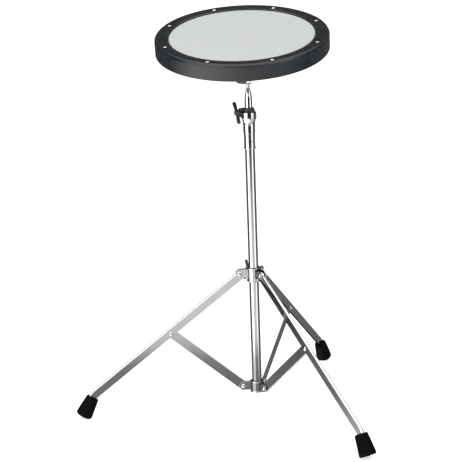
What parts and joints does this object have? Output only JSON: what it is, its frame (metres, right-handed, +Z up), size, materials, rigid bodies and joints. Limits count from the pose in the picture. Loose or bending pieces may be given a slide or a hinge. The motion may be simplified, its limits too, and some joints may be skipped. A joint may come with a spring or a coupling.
{
  "type": "practice pad on stand",
  "caption": "Round tunable drum practice pad in a charcoal rim on a chrome tripod stand with folding channel legs, height clamp and tilter.",
  "frame": {"origin": "on the floor, at the middle of the object's box; the tube stands on +X of it", "axes": "+Z up along the tube, -X along the first leg, -Y towards the player"},
  "size_m": [0.4875, 0.5586, 0.7027],
  "materials": {
    "chrome": "polished chrome plate",
    "plated_steel": "zinc and nickel plate, dull",
    "dark_cast_metal": "dark cast metal",
    "charcoal_plastic": "fine moulded grain",
    "base_plastic": "moulded",
    "coated_film": "sprayed coating on polyester film",
    "aluminium": "mill finish",
    "foam": "open cell",
    "brass": "turned",
    "rubber": "matte",
    "nylon": "moulded"
  },
  "bodies": {
    "stand": {"main_tube": "chrome", "tube_end_plug": "nylon", "bottom_bracket": "chrome", "bracket_rivet_1": "plated_steel", "bracket_rivet_2": "plated_steel", "bracket_rivet_3": "plated_steel", "height_clamp": "chrome", "clamp_bolt": "plated_steel", "rod_bush": "nylon"},
    "brace_link_1": {"brace_1": "plated_steel"},
    "brace_link_2": {"brace_2": "plated_steel"},
    "brace_link_3": {"brace_3": "plated_steel"},
    "leg_frame_1": {"leg_1": "chrome", "foot_1": "rubber", "leg_rivet_1": "plated_steel"},
    "leg_frame_2": {"leg_2": "chrome", "foot_2": "rubber", "leg_rivet_2": "plated_steel"},
    "leg_frame_3": {"leg_3": "chrome", "foot_3": "rubber", "leg_rivet_3": "plated_steel"},
    "collar": {"leg_collar": "chrome", "collar_rivet_1": "plated_steel", "collar_rivet_2": "plated_steel", "collar_rivet_3": "plated_steel"},
    "collar_screw": {"collar_wing_screw": "dark_cast_metal"},
    "clamp_nut": {"clamp_wing_nut": "dark_cast_metal"},
    "rod_carrier": {"rod_guide": "nylon"},
    "rod": {"upper_rod": "chrome", "tilter_base": "chrome"},
    "tilt_screw": {"tilter_wing_screw": "dark_cast_metal"},
    "pad": {"pad_base": "base_plastic", "pad_rim": "charcoal_plastic", "drum_head": "coated_film", "head_hoop": "aluminium", "foam_disc": "foam", "threaded_insert": "brass", "tension_screw_1": "chrome", "tension_screw_2": "chrome", "tension_screw_3": "chrome", "tension_screw_4": "chrome", "tension_screw_5": "chrome", "tension_screw_6": "chrome", "tension_screw_7": "chrome", "tension_screw_8": "chrome", "pad_lock_nut": "plated_steel", "tilter_knuckle": "chrome"}
  },
  "joints": [
    {"name": "leg_fold", "type": "hinge", "parent": "stand", "child": "brace_link_1", "pos_m": [0.05187, 0, 0.0442], "axis": [0, 1, 0], "range_deg": [0, 48]},
    {"name": "brace_2_fold", "type": "hinge", "parent": "stand", "child": "brace_link_2", "pos_m": [0.08847, -0.02113, 0.0442], "axis": [-0.866, -0.5, 0], "range_deg": [0, 48]},
    {"name": "brace_3_fold", "type": "hinge", "parent": "stand", "child": "brace_link_3", "pos_m": [0.08847, 0.02113, 0.0442], "axis": [0.866, -0.5, 0], "range_deg": [0, 48]},
    {"name": "leg_1_swing", "type": "hinge", "parent": "brace_link_1", "child": "leg_frame_1", "pos_m": [-0.07123, 0, 0.1464], "axis": [0, 1, 0], "range_deg": [-96, 0]},
    {"name": "leg_2_swing", "type": "hinge", "parent": "brace_link_2", "child": "leg_frame_2", "pos_m": [0.15003, -0.12774, 0.1464], "axis": [-0.866, -0.5, 0], "range_deg": [-96, 0]},
    {"name": "leg_3_swing", "type": "hinge", "parent": "brace_link_3", "child": "leg_frame_3", "pos_m": [0.15003, 0.12774, 0.1464], "axis": [0.866, -0.5, 0], "range_deg": [-96, 0]},
    {"name": "collar_pivot", "type": "hinge", "parent": "leg_frame_1", "child": "collar", "pos_m": [0.05187, 0, 0.2486], "axis": [0, 1, 0], "range_deg": [0, 48]},
    {"name": "collar_screw_turn", "type": "hinge", "parent": "collar", "child": "collar_screw", "pos_m": [0.06835, 0.01373, 0.2501], "axis": [-0.5, 0.866, 0], "range_deg": [0, 180]},
    {"name": "clamp_nut_turn", "type": "hinge", "parent": "stand", "child": "clamp_nut", "pos_m": [0.06, 0.00886, 0.5279], "axis": [-0.9548, -0.2974, 0], "range_deg": [0, 180]},
    {"name": "rod_height", "type": "slide", "parent": "stand", "child": "rod_carrier", "axis": [0, 0, 1], "range_m": [-0.0165, 0.25]},
    {"name": "rod_turn", "type": "hinge", "parent": "rod_carrier", "child": "rod", "pos_m": [0.07627, 0, 0.1984], "axis": [0, 0, 1], "continuous": true},
    {"name": "pad_tilt", "type": "hinge", "parent": "rod", "child": "pad", "pos_m": [0.07627, 0, 0.5831], "axis": [0.991, -0.134, 0], "range_deg": [-90, 60]},
    {"name": "tilt_screw_turn", "type": "hinge", "parent": "rod", "child": "tilt_screw", "pos_m": [0.06577, 0.00142, 0.5831], "axis": [-0.991, 0.134, 0], "range_deg": [0, 180]}
  ],
  "couplings": [
    {"joint": "brace_2_fold", "follows": "leg_fold", "ratio": 1},
    {"joint": "brace_3_fold", "follows": "leg_fold", "ratio": 1},
    {"joint": "leg_1_swing", "follows": "leg_fold", "ratio": -2},
    {"joint": "leg_2_swing", "follows": "leg_fold", "ratio": -2},
    {"joint": "leg_3_swing", "follows": "leg_fold", "ratio": -2},
    {"joint": "collar_pivot", "follows": "leg_fold", "ratio": 1}
  ]
}
